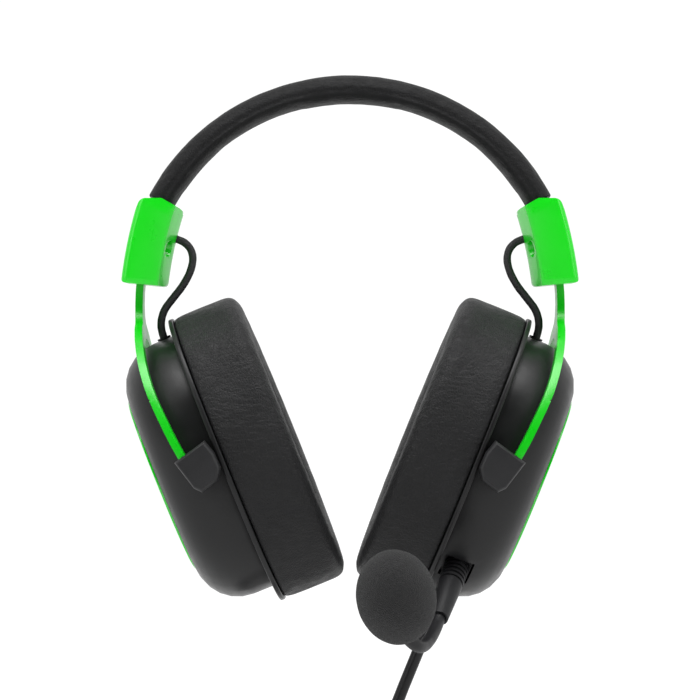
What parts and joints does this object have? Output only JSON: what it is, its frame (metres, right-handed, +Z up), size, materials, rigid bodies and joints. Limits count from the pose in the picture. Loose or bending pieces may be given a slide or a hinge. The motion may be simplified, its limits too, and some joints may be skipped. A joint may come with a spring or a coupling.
{
  "type": "gaming headset",
  "caption": "Over-ear headset: padded band, green clips and sliding yokes, tilting oval cups with leather cushions, detachable gooseneck microphone and coiled audio lead.",
  "frame": {"origin": "middle of the headband's underside, where it rests on the top of the head", "axes": "+Z up out of the head, +X to the wearer's left, -Y the way the wearer faces"},
  "size_m": [0.1642, 0.1641, 0.2599],
  "materials": {
    "black_leather": "fine-grained imitation leather, low sheen",
    "cushion_leather": "soft foam under fine-wrinkled imitation leather, low sheen",
    "grey_foam": "open-cell foam",
    "flex_plastic": "moulded flexible plastic",
    "spring_steel": "rolled strip",
    "green_plastic": "smooth moulded, semi-gloss",
    "green_paint": "glossy paint on pressed plate",
    "shell_black": "satin moulded shell",
    "block_black": "satin moulded block",
    "screw_steel": "zinc-plated",
    "braid_black": "braided sleeve",
    "soft_black": "matt moulded soft plastic",
    "lead_black": "smooth soft jacket",
    "board_green": "printed circuit board",
    "magnet_steel": "nickel-plated",
    "film_clear": "thin film",
    "contact_gold": "gold-plated",
    "cloth_black": "open knit",
    "windscreen_foam": "fine foam",
    "badge_grey": "satin"
  },
  "bodies": {
    "headband": {"headband_cover": "black_leather", "headband_foam": "grey_foam", "headband_core": "flex_plastic", "spring_band": "spring_steel", "left_clip": "green_plastic", "left_clip_cover": "green_plastic", "left_clip_screws": "screw_steel", "left_slider_guide": "flex_plastic", "right_clip": "green_plastic", "right_clip_cover": "green_plastic", "right_clip_screws": "screw_steel", "right_slider_guide": "flex_plastic"},
    "left_yoke": {"left_yoke": "green_paint", "left_front_pivot_block": "block_black", "left_rear_pivot_block": "block_black", "left_pivot_pins": "screw_steel", "left_link_cable": "braid_black", "audio_lead": "lead_black", "audio_lead_coil": "lead_black", "lead_tie": "cloth_black", "plug_body": "soft_black", "plug_pin": "contact_gold"},
    "right_yoke": {"right_yoke": "green_paint", "right_front_pivot_block": "block_black", "right_rear_pivot_block": "block_black", "right_pivot_pins": "screw_steel", "right_link_cable": "braid_black"},
    "left_cup": {"left_shell": "shell_black", "left_face_plate": "green_plastic", "left_badge": "badge_grey", "left_baffle": "shell_black", "left_driver_basket": "flex_plastic", "left_driver_magnet": "magnet_steel", "left_driver_diaphragm": "film_clear", "left_ear_cushion": "cushion_leather", "left_speaker_cloth": "cloth_black", "left_baffle_screws": "screw_steel", "left_cable_grommet": "soft_black", "mic_jack": "flex_plastic", "circuit_board": "board_green", "lead_strain_relief": "soft_black"},
    "right_cup": {"right_shell": "shell_black", "right_face_plate": "green_plastic", "right_badge": "badge_grey", "right_baffle": "shell_black", "right_driver_basket": "flex_plastic", "right_driver_magnet": "magnet_steel", "right_driver_diaphragm": "film_clear", "right_ear_cushion": "cushion_leather", "right_speaker_cloth": "cloth_black", "right_baffle_screws": "screw_steel", "right_cable_grommet": "soft_black"},
    "mic": {"mic_plug_pin": "contact_gold", "mic_plug_collar": "soft_black", "mic_grip": "soft_black", "mic_boom": "soft_black"},
    "mic_tip": {"mic_capsule_housing": "flex_plastic", "mic_capsule": "magnet_steel", "windscreen": "windscreen_foam"}
  },
  "joints": [
    {"name": "left_slider", "type": "slide", "parent": "headband", "child": "left_yoke", "axis": [0.1132, 0, -0.9936], "range_m": [0, 0.016], "deforming": ["left_link_cable"]},
    {"name": "right_slider", "type": "slide", "parent": "headband", "child": "right_yoke", "axis": [-0.1132, 0, -0.9936], "range_m": [0, 0.016], "deforming": ["right_link_cable"]},
    {"name": "left_cup_tilt", "type": "hinge", "parent": "left_yoke", "child": "left_cup", "pos_m": [0.0536, 0, -0.1302], "axis": [0, -1, 0], "range_deg": [0, 28], "deforming": ["audio_lead"]},
    {"name": "right_cup_tilt", "type": "hinge", "parent": "right_yoke", "child": "right_cup", "pos_m": [-0.0536, 0, -0.1302], "axis": [0, 1, 0], "range_deg": [0, 28]},
    {"name": "mic_unplug", "type": "slide", "parent": "left_cup", "child": "mic", "axis": [-0.2408, -0.766, -0.596], "range_m": [0, 0.024]},
    {"name": "boom_bend", "type": "hinge", "parent": "mic", "child": "mic_tip", "pos_m": [0.025, -0.067, -0.1903], "axis": [1, 0, 0], "range_deg": [-20, 20], "deforming": ["mic_boom"]}
  ]
}
